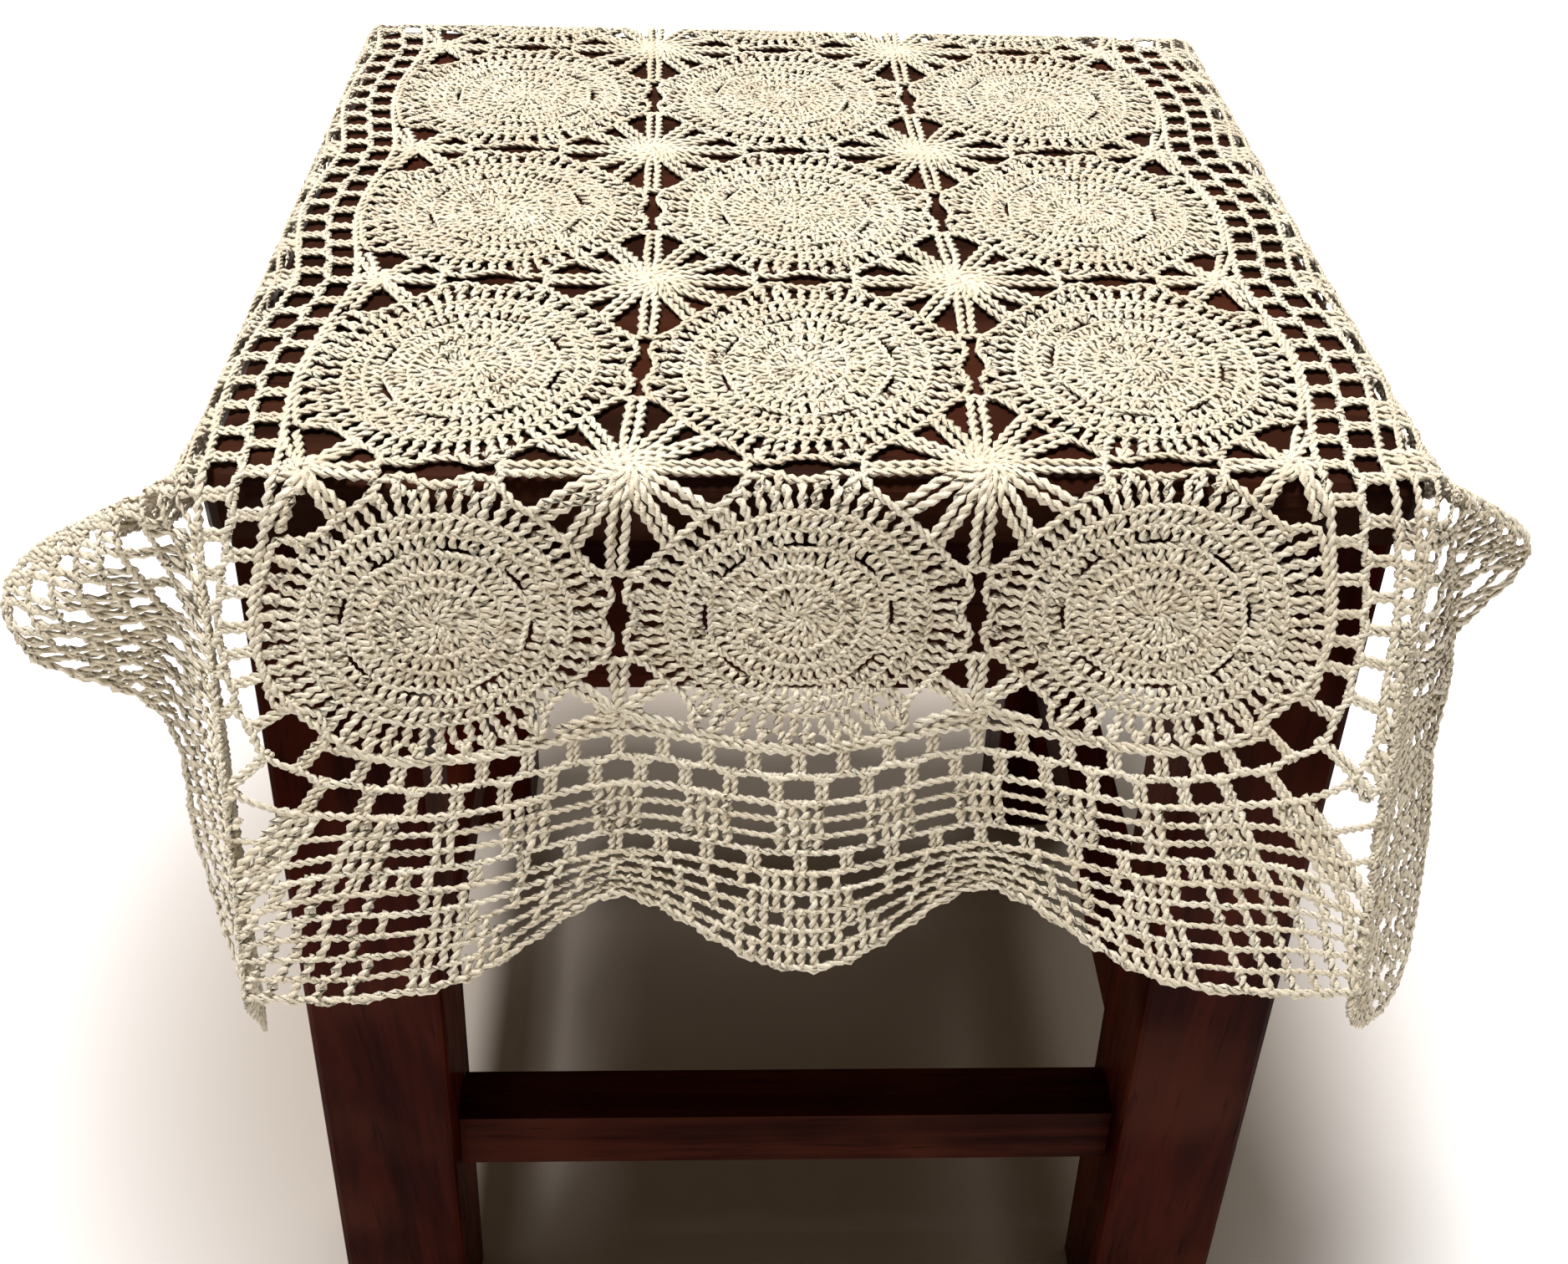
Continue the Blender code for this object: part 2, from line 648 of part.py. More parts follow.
build()
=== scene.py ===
"""A crochet table runner hanging over a square wooden stool: the finish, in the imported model's frame."""
import math

import bpy
import numpy as np
from mathutils import Matrix, Vector


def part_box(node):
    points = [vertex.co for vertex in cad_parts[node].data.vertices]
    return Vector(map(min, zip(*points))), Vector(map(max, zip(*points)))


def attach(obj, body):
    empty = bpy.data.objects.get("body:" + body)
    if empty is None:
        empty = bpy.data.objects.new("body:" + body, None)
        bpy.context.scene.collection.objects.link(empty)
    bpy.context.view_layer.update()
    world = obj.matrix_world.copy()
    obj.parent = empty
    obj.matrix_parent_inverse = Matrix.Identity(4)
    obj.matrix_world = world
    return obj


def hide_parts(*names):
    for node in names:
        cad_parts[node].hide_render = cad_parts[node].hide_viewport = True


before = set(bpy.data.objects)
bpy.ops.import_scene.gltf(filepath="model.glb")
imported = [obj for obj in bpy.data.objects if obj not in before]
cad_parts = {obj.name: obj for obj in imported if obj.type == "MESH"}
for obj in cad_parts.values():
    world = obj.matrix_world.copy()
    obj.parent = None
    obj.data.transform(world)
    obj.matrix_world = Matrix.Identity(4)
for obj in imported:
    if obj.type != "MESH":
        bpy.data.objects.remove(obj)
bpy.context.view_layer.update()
bpy.ops.object.select_all(action="DESELECT")


# ---- Camera -------------------------------------------------------------------------------
# Stands in front of the stool, a little to its left, and looks down on the cloth.
# Its place is measured from the middle of the seat's top.
seat_low, seat_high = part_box("seat_board")
seat_middle = Vector(((seat_low.x + seat_high.x) / 2, (seat_low.y + seat_high.y) / 2, seat_high.z))
lens_place = seat_middle + Vector((-0.030820, -0.549761, 0.262993))
lens_turn, lens_drop, lens_roll = math.radians(-3.2115), math.radians(39.61857), math.radians(2.25845)
behind = Vector((math.sin(lens_turn) * math.cos(lens_drop), -math.cos(lens_turn) * math.cos(lens_drop),
                 math.sin(lens_drop)))
level = Vector((math.cos(lens_turn), math.sin(lens_turn), 0))
upward = behind.cross(level)
right_side = math.cos(lens_roll) * level + math.sin(lens_roll) * upward
top_side = -math.sin(lens_roll) * level + math.cos(lens_roll) * upward
bpy.ops.object.camera_add()
camera = bpy.context.object
camera.matrix_world = Matrix((
    (right_side.x, top_side.x, behind.x, lens_place.x),
    (right_side.y, top_side.y, behind.y, lens_place.y),
    (right_side.z, top_side.z, behind.z, lens_place.z),
    (0, 0, 0, 1)))
camera.data.lens = 38.658
camera.data.sensor_width = 36
camera.data.clip_start = 0.01
bpy.context.scene.camera = camera


# ---- Stool --------------------------------------------------------------------------------
# Seat board, four legs, aprons and stretchers in a dark red-brown hardwood, stained and
# varnished with a soft gloss. The grain runs along each piece; raised edges are rubbed.
class Shade:
    """A shader value: + - * on it add Math nodes, and node() adds any other."""

    def __init__(self, tree, socket=None):
        self.tree, self.socket = tree, socket

    def node(self, kind, settings=None, values=None, output=0):
        made = self.tree.nodes.new(kind)
        for name, value in (settings or {}).items():
            setattr(made, name, value)
        for name, value in (values or {}).items():
            if isinstance(value, Shade):
                self.tree.links.new(value.socket, made.inputs[name])
            else:
                made.inputs[name].default_value = value
        return Shade(self.tree, made.outputs[output])

    def reckon(self, operation, first, second=0.0):
        return self.node("ShaderNodeMath", {"operation": operation}, {0: first, 1: second})

    def __add__(self, other):
        return self.reckon("ADD", self, other)

    def __sub__(self, other):
        return self.reckon("SUBTRACT", self, other)

    def __rsub__(self, other):
        return self.reckon("SUBTRACT", other, self)

    def __mul__(self, other):
        return self.reckon("MULTIPLY", self, other)

    __radd__, __rmul__ = __add__, __mul__

    def between(self, low, high):
        """0 below low, 1 above high, smooth between."""
        return self.node("ShaderNodeMapRange", {"interpolation_type": "SMOOTHSTEP"},
                         {"Value": self, "From Min": low, "From Max": high})

    def blend(self, low_colour, high_colour):
        """low_colour where this value is 0, high_colour where it is 1."""
        return self.node("ShaderNodeMix", {"data_type": "RGBA"},
                         {0: self, 6: low_colour, 7: high_colour}, output=2)


def new_material(name, roughness):
    material = bpy.data.materials.new(name)
    material.use_nodes = True
    surface = material.node_tree.nodes["Principled BSDF"]
    surface.inputs["Roughness"].default_value = roughness
    return material, material.node_tree, surface


LEG_DARK, LEG_LIGHT = (0.0130, 0.0011, 0.0004, 1), (0.056, 0.0068, 0.0024, 1)
RAIL_DARK, RAIL_LIGHT = (0.0150, 0.0022, 0.0011, 1), (0.060, 0.0115, 0.0052, 1)
SEAT_DARK, SEAT_LIGHT = (0.0150, 0.0052, 0.0028, 1), (0.046, 0.0160, 0.0085, 1)
WARM_CLOUD = (0.070, 0.0180, 0.0085, 1)
OPEN_PORE = (0.0085, 0.0025, 0.0018, 1)
RUBBED_BARE = (0.17, 0.095, 0.060, 1)
VARNISH_SHEEN = 0.015


def stained_hardwood(name, grain_scale, gloss, dark=LEG_DARK, light=LEG_LIGHT):
    """Wood whose grain runs along the axis with the smallest of grain_scale's three numbers."""
    material, tree, surface = new_material(name, gloss)
    start = Shade(tree)
    place = start.node("ShaderNodeTexCoord", output=3)
    along = start.node("ShaderNodeMapping", values={"Vector": place, "Scale": grain_scale})
    figure = start.node("ShaderNodeTexNoise", values={"Vector": along, "Scale": 9.0, "Detail": 5.0,
                                                      "Roughness": 0.62, "Distortion": 0.9})
    pores = start.node("ShaderNodeTexNoise", values={"Vector": along, "Scale": 70.0, "Detail": 3.0,
                                                     "Roughness": 0.7})
    cloud = start.node("ShaderNodeTexNoise", values={"Vector": place, "Scale": 14.0, "Detail": 2.0})
    rubbed = start.node("ShaderNodeTexNoise", values={"Vector": along, "Scale": 22.0, "Detail": 6.0,
                                                      "Roughness": 0.75})
    colour = figure.between(0.34, 0.68).blend(dark, light)
    colour = (cloud.between(0.42, 0.72) * 0.55).blend(colour, WARM_CLOUD)
    colour = (pores.between(0.56, 0.74) * 0.7).blend(colour, OPEN_PORE)
    worn = rubbed.between(0.66, 0.80) * cloud.between(0.5, 0.62) * 0.5
    colour = worn.blend(colour, RUBBED_BARE)
    tree.links.new(colour.socket, surface.inputs["Base Color"])
    tree.links.new((gloss + pores.between(0.45, 0.8) * 0.2 - figure * 0.08 + worn * 0.3).socket,
                   surface.inputs["Roughness"])
    grain = start.node("ShaderNodeBump", values={"Height": figure * 0.4 - pores.between(0.55, 0.75),
                                                 "Strength": 0.35, "Distance": 0.0004})
    tree.links.new(grain.socket, surface.inputs["Normal"])
    surface.inputs["Specular IOR Level"].default_value = VARNISH_SHEEN
    return material


ALONG_X, ALONG_Y, ALONG_Z = (0.30, 4.0, 4.0), (4.0, 0.30, 4.0), (4.0, 4.0, 0.30)
wood_across = stained_hardwood("hardwood_across", ALONG_X, 0.38, RAIL_DARK, RAIL_LIGHT)
wood_deep = stained_hardwood("hardwood_deep", ALONG_Y, 0.38)
wood_upright = stained_hardwood("hardwood_upright", ALONG_Z, 0.36)
wood_top = stained_hardwood("hardwood_top", ALONG_X, 0.40, SEAT_DARK, SEAT_LIGHT)
for name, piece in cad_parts.items():
    if name == "table_runner":
        continue
    if name == "seat_board":
        finish = wood_top
    elif name.startswith("leg"):
        finish = wood_upright
    elif name.endswith(("left", "right")):
        finish = wood_deep
    else:
        finish = wood_across
    for place in range(max(1, len(piece.material_slots))):
        if not piece.material_slots:
            piece.data.materials.append(finish)
        piece.material_slots[place].material = finish


# ---- Round motifs -------------------------------------------------------------------------
# Fifteen discs of cream cotton yarn, three across and five long, each worked in rounds from
# its middle: a sunburst, dense trebles, a ridge with eight curved slits, a ring of open posts
# and a braided edge. Neighbours are crocheted together where they touch.

# Flat places are (u, v) in millimetres on the finished cloth before it is laid, and a height
# above the cloth's middle. v grows towards the back.
PITCH = 100.0
FOLD_X, FOLD_Y = 168.5, 164.5  # from the seat's middle to where the cloth begins to bend
FOLD_RADIUS = 8.5
CLOTH_MIDDLE = 1.3             # above the seat's top
CORNER_SPAN = 144.0            # length of rim that a corner stands for
LAID_SHIFT = (-1.7, -5.5)      # the cloth's middle from the seat's
LAID_TURN = math.radians(1.2)

# In front of its middle the cloth has slipped left and forwards, and the front skirt spreads.
# Where each begins, in millimetres in front of the middle, and over what length it grows
SLIP_LEFT, LEFT_FROM, LEFT_OVER = 9, 54, 160
SLIP_FORWARD, FORWARD_FROM, FORWARD_OVER = 8, 44, 120
FORWARD_ENDS, ENDS_OVER = 164, 90
SPREAD, SPREAD_FROM, SPREAD_OVER, SPREAD_HALF_WIDTH = 0.16, 174, 160, 120

# The rim's parts in their order round it. A corner counts from the side before it.
RIM_NORMAL = {"left": (-1, 0), "front_left": (-1, 0), "front": (0, -1), "front_right": (0, -1),
              "right": (1, 0), "back_right": (1, 0), "back": (0, 1), "back_left": (0, 1)}

# How the cloth hangs: part of the seat's rim, place on it (share of a side, or degrees round
# a corner), and the direction of fall there as out from the rim, along it, and down
HANGING_FOLDS = [
    ("left", 0.05, 0.30, 0.00, 0.95), ("left", 0.25, 0.20, 0.00, 0.97), ("left", 0.45, 0.28, 0.00, 0.96),
    ("left", 0.65, 0.22, 0.00, 0.97), ("left", 0.80, 0.34, -0.06, 0.94), ("left", 0.93, 0.54, -0.17, 0.82),
    ("front_left", 6, 0.69, -0.22, 0.69), ("front_left", 20, 0.82, -0.19, 0.55),
    ("front_left", 32, 0.79, -0.12, 0.60), ("front_left", 40, 0.67, -0.03, 0.74),
    ("front_left", 48, 0.46, -0.11, 0.88), ("front_left", 55, 0.29, -0.15, 0.95),
    ("front_left", 59, 0.17, -0.05, 0.98), ("front_left", 63, 0.06, 0.10, 0.99),
    ("front_left", 70, 0.02, 0.18, 0.98), ("front_left", 82, 0.04, 0.22, 0.97),
    ("front", 0.08, 0.24, -0.04, 0.96), ("front", 0.19, 0.21, -0.02, 0.97),
    ("front", 0.35, 0.13, -0.01, 0.99),
    ("front", 0.50, 0.18, 0.01, 0.98), ("front", 0.65, 0.13, 0.03, 0.99), ("front", 0.81, 0.24, 0.05, 0.96),
    ("front", 0.94, 0.28, 0.06, 0.95),
    ("front_right", 8, 0.28, 0.02, 0.96), ("front_right", 19, 0.26, 0.04, 0.96),
    ("front_right", 27, 0.12, 0.17, 0.98), ("front_right", 34, -0.12, 0.31, 0.94),
    ("front_right", 44, -0.26, 0.37, 0.89), ("front_right", 55, -0.34, 0.66, 0.67),
    ("front_right", 66, -0.38, 0.73, 0.57), ("front_right", 80, -0.48, 0.64, 0.60),
    ("right", 0.05, 0.46, 0.40, 0.79), ("right", 0.18, 0.34, 0.14, 0.93), ("right", 0.36, 0.22, 0.00, 0.97),
    ("right", 0.56, 0.30, 0.00, 0.95), ("right", 0.78, 0.22, 0.00, 0.97), ("right", 0.95, 0.30, 0.00, 0.95),
    ("back_right", 10, 0.24, 0.04, 0.97), ("back_right", 26, 0.36, 0.22, 0.91),
    ("back_right", 40, 0.44, 0.48, 0.76), ("back_right", 54, 0.34, 0.68, 0.65),
    ("back_right", 66, 0.18, 0.66, 0.73), ("back_right", 80, 0.04, 0.44, 0.90),
    ("back", 0.08, 0.20, 0.00, 0.98), ("back", 0.20, 0.24, 0.00, 0.97), ("back", 0.36, 0.14, 0.00, 0.99),
    ("back", 0.52, 0.22, 0.00, 0.97), ("back", 0.67, 0.13, 0.00, 0.99), ("back", 0.84, 0.22, 0.00, 0.97),
    ("back", 0.95, 0.22, 0.02, 0.97),
    ("back_left", 10, 0.48, -0.02, 0.87), ("back_left", 24, 0.70, 0.04, 0.71),
    ("back_left", 38, 0.76, 0.20, 0.62), ("back_left", 52, 0.62, 0.28, 0.73),
    ("back_left", 66, 0.36, 0.24, 0.90), ("back_left", 80, 0.14, 0.22, 0.96),
]


def smooth_step(x):
    x = np.clip(x, 0, 1)
    return x * x * (3 - 2 * x)


def unit(rows):
    return rows / np.maximum(np.linalg.norm(rows, axis=1, keepdims=True), 1e-9)


def rim_span(part):
    if "_" in part:
        return CORNER_SPAN
    return 2 * FOLD_Y if part in ("left", "right") else 2 * FOLD_X


def fold_tables():
    """Places round the seat's rim, in millimetres, and the direction of fall at each."""
    begins, place = {}, 0.0
    for part in RIM_NORMAL:
        begins[part] = place
        place += rim_span(part)
    places, falls = [], []
    for part, where, out, along, down in HANGING_FOLDS:
        normal = RIM_NORMAL[part]
        tangent = (-normal[1], normal[0])
        places.append(begins[part] + where * (CORNER_SPAN / 90 if "_" in part else rim_span(part)))
        falls.append((normal[0] * out + tangent[0] * along, normal[1] * out + tangent[1] * along, -down))
    places, falls = np.array(places), unit(np.array(falls))
    places = np.concatenate([places[-2:] - place, places, places[:2] + place])
    return begins, place, places, np.concatenate([falls[-2:], falls, falls[:2]])


RIM_BEGINS, RIM_LENGTH, FOLD_PLACES, FOLD_FALLS = fold_tables()


def direction_of_fall(place):
    """A smooth curve through the table of folds."""
    place = np.mod(place, RIM_LENGTH)
    i = np.clip(np.searchsorted(FOLD_PLACES, place, side="right") - 1, 1, len(FOLD_PLACES) - 3)
    step = FOLD_PLACES[i + 1] - FOLD_PLACES[i]
    t = ((place - FOLD_PLACES[i]) / step)[:, None]
    low_share = step / (FOLD_PLACES[i + 1] - FOLD_PLACES[i - 1])
    high_share = step / (FOLD_PLACES[i + 2] - FOLD_PLACES[i])
    slope_low = (FOLD_FALLS[i + 1] - FOLD_FALLS[i - 1]) * low_share[:, None]
    slope_high = (FOLD_FALLS[i + 2] - FOLD_FALLS[i]) * high_share[:, None]
    return unit((2 * t ** 3 - 3 * t ** 2 + 1) * FOLD_FALLS[i] + (t ** 3 - 2 * t ** 2 + t) * slope_low
                + (3 * t ** 2 - 2 * t ** 3) * FOLD_FALLS[i + 1] + (t ** 3 - t ** 2) * slope_high)


def place_round_rim(u, v):
    """How far round the seat's rim each point beyond it lies."""
    x, y = u - np.clip(u, -FOLD_X, FOLD_X), v - np.clip(v, -FOLD_Y, FOLD_Y)
    out_x, out_y = np.abs(x) > 1e-9, np.abs(y) > 1e-9
    corner = CORNER_SPAN / 90
    turn = np.degrees(np.arctan2(np.abs(y), np.abs(x)))
    return np.select(
        [out_x & ~out_y & (x < 0), out_x & out_y & (x < 0) & (y < 0), out_y & ~out_x & (y < 0),
         out_x & out_y & (x > 0) & (y < 0), out_x & ~out_y, out_x & out_y & (x > 0),
         out_y & ~out_x, out_x & out_y],
        [RIM_BEGINS["left"] + FOLD_Y - v, RIM_BEGINS["front_left"] + corner * turn,
         RIM_BEGINS["front"] + u + FOLD_X, RIM_BEGINS["front_right"] + corner * (90 - turn),
         RIM_BEGINS["right"] + v + FOLD_Y, RIM_BEGINS["back_right"] + corner * turn,
         RIM_BEGINS["back"] + FOLD_X - u, RIM_BEGINS["back_left"] + corner * (90 - turn)], 0.0)


def laid(flat):
    """Where flat points of the cloth lie or hang, in metres."""
    turn_cos, turn_sin = math.cos(LAID_TURN), math.sin(LAID_TURN)
    u = LAID_SHIFT[0] + turn_cos * flat[:, 0] - turn_sin * flat[:, 1]
    v = LAID_SHIFT[1] + turn_sin * flat[:, 0] + turn_cos * flat[:, 1]
    below = np.clip(-v - SPREAD_FROM, 0, None)
    spread = SPREAD * np.clip(u, -SPREAD_HALF_WIDTH, SPREAD_HALF_WIDTH) * (below / SPREAD_OVER) ** 2
    slipped_left = SLIP_LEFT * smooth_step((-v - LEFT_FROM) / LEFT_OVER)
    slipped_forward = (SLIP_FORWARD * smooth_step((-v - FORWARD_FROM) / FORWARD_OVER)
                       * (1 - smooth_step((-v - FORWARD_ENDS) / ENDS_OVER)))
    u, v = u - slipped_left + spread, v - slipped_forward
    rim = np.column_stack([np.clip(u, -FOLD_X, FOLD_X), np.clip(v, -FOLD_Y, FOLD_Y)])
    beyond = np.column_stack([u, v]) - rim
    reach = np.hypot(beyond[:, 0], beyond[:, 1])
    fall = direction_of_fall(place_round_rim(u, v))
    out = np.column_stack([beyond / np.maximum(reach, 1e-9)[:, None], np.zeros(len(u))])
    cosine = np.clip((out * fall).sum(1), -1, 1)
    bend = np.arccos(cosine)
    across = unit(fall - cosine[:, None] * out)
    turned = np.minimum(reach / FOLD_RADIUS, bend)[:, None]
    rest = np.maximum(reach - FOLD_RADIUS * bend, 0)[:, None]
    place = (np.column_stack([rim, np.full(len(u), CLOTH_MIDDLE)])
             + FOLD_RADIUS * (np.sin(turned) * out + (1 - np.cos(turned)) * across) + rest * fall)
    on_seat = reach < 1e-9
    place[on_seat] = np.column_stack([u, v, np.full(len(u), CLOTH_MIDDLE)])[on_seat]
    return place / 1000 + np.array(seat_middle)


# Two strands twisted together, all in widths of the stitch
STEP = 0.58                    # between a strand's rings
TWIST = 2.2                    # length of a full turn
BLUNT = 0.12                   # length of the point that closes each end
STRAND_RADIUS = 0.325
STRAND_APART, ENDS_APART = 0.24, 0.12      # a strand's middle from the stitch's
FLATTENED, STRAND_FLATTENED = 0.62, 0.6    # height as a share of breadth
LIFT = 0.2                     # of the yarn above the cloth's middle, in millimetres
NUDGE = 0.2                    # for measuring the cloth's slope, in millimetres
unevenness = np.random.default_rng(7)


def jitter(size):
    return float(unevenness.uniform(-size, size))


def crocheted(name, stitches, material):
    """One mesh of all the stitches: each (path, width) becomes two strands twisted together."""
    rings, firsts, widths, phases, tones, along = [], [], [], [], [], []
    total = 0
    for path, width in stitches:
        path = np.asarray(path, float)
        length = np.concatenate([[0], np.cumsum(np.linalg.norm(np.diff(path, axis=0), axis=1))])
        blunt = BLUNT * width
        count = max(2, round((length[-1] - 2 * blunt) / (STEP * width))) + 3
        marks = np.concatenate([[0], np.linspace(blunt, length[-1] - blunt, count - 2), length[-1:]])
        rings.append(np.column_stack([np.interp(marks, length, path[:, k]) for k in range(3)]))
        along.append(marks)
        firsts.append((total, count))
        widths.append(np.full(count, width))
        phases.append(np.full(count, unevenness.uniform(0, 2 * math.pi)))
        tones.append(np.full(count, unevenness.uniform(0, 1)))
        total += count
    rings, along = np.concatenate(rings), np.concatenate(along)
    widths, phases, tones = np.concatenate(widths), np.concatenate(phases), np.concatenate(tones)
    first, last = np.zeros(total, bool), np.zeros(total, bool)
    for start, count in firsts:
        first[start], last[start + count - 1] = True, True

    flat = rings[:, :2]
    across = laid(flat + (NUDGE, 0)) - laid(flat - (NUDGE, 0))
    deep = laid(flat + (0, NUDGE)) - laid(flat - (0, NUDGE))
    normal = unit(np.cross(across, deep))
    middle = laid(flat) + normal * (rings[:, 2:3] + LIFT) / 1000
    before, after = np.arange(total) - ~first, np.arange(total) + ~last
    run = unit(middle[after] - middle[before])
    side = unit(np.cross(normal, run))
    top = np.cross(run, side)

    strand = np.where(first | last, 0.0, STRAND_RADIUS * widths / 1000)
    offset = np.where(first | last, ENDS_APART, STRAND_APART) * widths / 1000
    places, texture, tone = [], [], []
    for which in (0, 1):
        turn = phases + 2 * math.pi * along / (TWIST * widths) + math.pi * which
        core = (middle + (offset * np.cos(turn))[:, None] * side
                + (FLATTENED * offset * np.sin(turn))[:, None] * top)
        for corner in range(3):
            angle = turn + 2 * math.pi * corner / 3
            places.append(core + (strand * np.cos(angle))[:, None] * side
                          + (STRAND_FLATTENED * strand * np.sin(angle))[:, None] * top)
            texture.append(np.column_stack([along / 10, np.full(total, corner / 3 + which)]))
            tone.append(tones * 0.7 + 0.3 * unevenness.uniform(0, 1, total))
    # for each ring, the three corners of one strand and then of the other
    places, texture, tone = np.stack(places, 1), np.stack(texture, 1), np.stack(tone, 1)

    # walls of four-cornered faces, and a point of three faces at each end of a strand
    low = np.flatnonzero(~first & ~last)
    low = low[~last[low + 1]] * 6
    starts, ends = np.flatnonzero(first) * 6, np.flatnonzero(last) * 6
    walls, points = [], []
    for which in (0, 3):
        for corner in range(3):
            a, b = which + corner, which + (corner + 1) % 3
            walls.append(np.column_stack([low + a, low + b, low + 6 + b, low + 6 + a]))
            points.append(np.column_stack([starts + which, starts + 6 + b, starts + 6 + a]))
            points.append(np.column_stack([ends - 6 + a, ends - 6 + b, ends + which]))
    walls, points = np.concatenate(walls), np.concatenate(points)
    corners = np.concatenate([walls.ravel(), points.ravel()])
    begins = np.concatenate([np.arange(len(walls)) * 4,
                             len(walls) * 4 + np.arange(len(points)) * 3]).astype(np.int32)
    used = np.zeros(total * 6, bool)
    used[corners] = True
    places, texture = places.reshape(-1, 3)[used], texture.reshape(-1, 2)[used]
    tone = tone.reshape(-1)[used]
    corners = (np.cumsum(used) - 1)[corners].astype(np.int32)

    shape = bpy.data.meshes.new(name)
    shape.vertices.add(len(places))
    shape.vertices.foreach_set("co", places.ravel().astype(np.float32))
    shape.loops.add(len(corners))
    shape.loops.foreach_set("vertex_index", corners)
    shape.polygons.add(len(begins))
    shape.polygons.foreach_set("loop_start", begins)
    shape.polygons.foreach_set("use_smooth", np.ones(len(begins), bool))
    shape.update(calc_edges=True)
    strand_map = shape.uv_layers.new(name="strand")
    strand_map.data.foreach_set("uv", texture[corners].ravel().astype(np.float32))
    shape.attributes.new("tone", "FLOAT", "POINT").data.foreach_set("value", tone.astype(np.float32))
    shape.materials.append(material)
    piece = bpy.data.objects.new(name, shape)
    bpy.context.scene.collection.objects.link(piece)
    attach(piece, "root")
    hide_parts("table_runner")
    return piece


YARN_DEEP, YARN_PALE = (0.655, 0.565, 0.415, 1), (0.80, 0.73, 0.58, 1)
# painted shade: a darker yarn colour for the grooves between the plies, where shade falls
YARN_GROOVE_PAINTED_SHADE = (0.52, 0.42, 0.28, 1)        # between the fibres


def cream_cotton():
    """Soft two-ply cotton: fibres run slantwise round each strand, and some stitches are paler."""
    material, tree, surface = new_material("cream_cotton", 0.85)
    start = Shade(tree)
    strand = start.node("ShaderNodeUVMap", {"uv_map": "strand"})
    parts = start.node("ShaderNodeSeparateXYZ", values={0: strand})
    along, around = parts, Shade(tree, parts.socket.node.outputs[1])
    tone = start.node("ShaderNodeAttribute", {"attribute_name": "tone"}, output=2)
    place = start.node("ShaderNodeTexCoord", output=3)
    fuzz = start.node("ShaderNodeTexNoise", values={"Vector": place, "Scale": 1500.0, "Detail": 2.0})
    patches = start.node("ShaderNodeTexNoise", values={"Vector": place, "Scale": 45.0, "Detail": 2.0})
    plies = start.reckon("SINE", (along * 14.0 + around * 2.0) * (2 * math.pi)) * 0.5 + 0.5
    shade = tone * 0.35 + patches * 0.35 + fuzz * 0.3
    colour = shade.between(0.25, 0.72).blend(YARN_DEEP, YARN_PALE)
    # painted shade: the grooves between the plies are darkened by blending in the groove colour
    colour = ((1 - plies) * 0.18).blend(colour, YARN_GROOVE_PAINTED_SHADE)
    tree.links.new(colour.socket, surface.inputs["Base Color"])
    fibre = start.node("ShaderNodeBump", values={"Height": plies * 0.8 + fuzz * 0.6, "Strength": 0.5,
                                                 "Distance": 0.00022})
    tree.links.new(fibre.socket, surface.inputs["Normal"])
    surface.inputs["Specular IOR Level"].default_value = 0.25
    surface.inputs["Sheen Weight"].default_value = 0.25
    surface.inputs["Sheen Roughness"].default_value = 0.45
    surface.inputs["Sheen Tint"].default_value = (1.0, 0.96, 0.88, 1)
    return material


yarn = cream_cotton()

# Rounds of trebles: radius at foot and head, stitches, lean in degrees, height, width
MOTIF_ROUNDS = [
    (0.9, 6.6, 13, 4, 0.2, 2.5),
    (5.7, 12.2, 22, 7, 0.0, 3.2),
    (11.7, 18.2, 35, 5, 0.1, 3.2),
    (17.7, 25.0, 48, 4, 0.0, 3.2),
    (30.9, 36.6, 70, -3, 0.2, 3.2),
]
# Chains on the rounds' heads: radius and height
MOTIF_CHAINS = [(12.2, 0.55), (18.2, 0.55), (31.2, 0.5), (36.8, 0.5)]
# The motif's outer edge beside each of its four joints: degrees from the joint, radius
EDGE_AT_SIDE = [(0, 46.4), (4, 46.8), (8.5, 49.7), (19, 49.7), (24, 46.9), (31, 45.7), (45, 45.3)]
EDGE_AT_END = [(0, 45.9), (5, 46.2), (10.5, 49.7), (19, 49.7), (24, 46.9), (31, 45.7), (45, 45.3)]
EDGE_AT_BORDER = [(0, 49.2), (20, 50.6), (30, 52.6), (35, 53.6), (38, 47.5), (45, 45.3)]

# Widths of the motif's other stitches
CHAIN_YARN, RIDGE_YARN, POST_YARN, LEANING_YARN, EDGE_YARN = 2.3, 3.2, 3.3, 3.1, 3.0
RIDGE_INSIDE = 25.4            # radius of the ridge's inner edge
LEANING_FOOT = 43.2            # radius of the leaning trebles' feet


def polar(middle, radius, degrees, height):
    angle = math.radians(degrees)
    return (middle[0] + radius * math.cos(angle), middle[1] + radius * math.sin(angle), height)


def motif_edge(degrees, joints):
    """Radius of a motif's outer edge. joints are its four neighbours' profiles from the right."""
    nearest = round(degrees / 90)
    profile = joints[nearest % 4]
    away, radii = zip(*profile)
    return float(np.interp(abs(degrees - 90 * nearest), away, radii))


def slit(degrees):
    """1 along each of the ridge's eight curved slits, and 0 between them."""
    return float(smooth_step(1.6 - abs(degrees % 45 - 22.5) / 10))


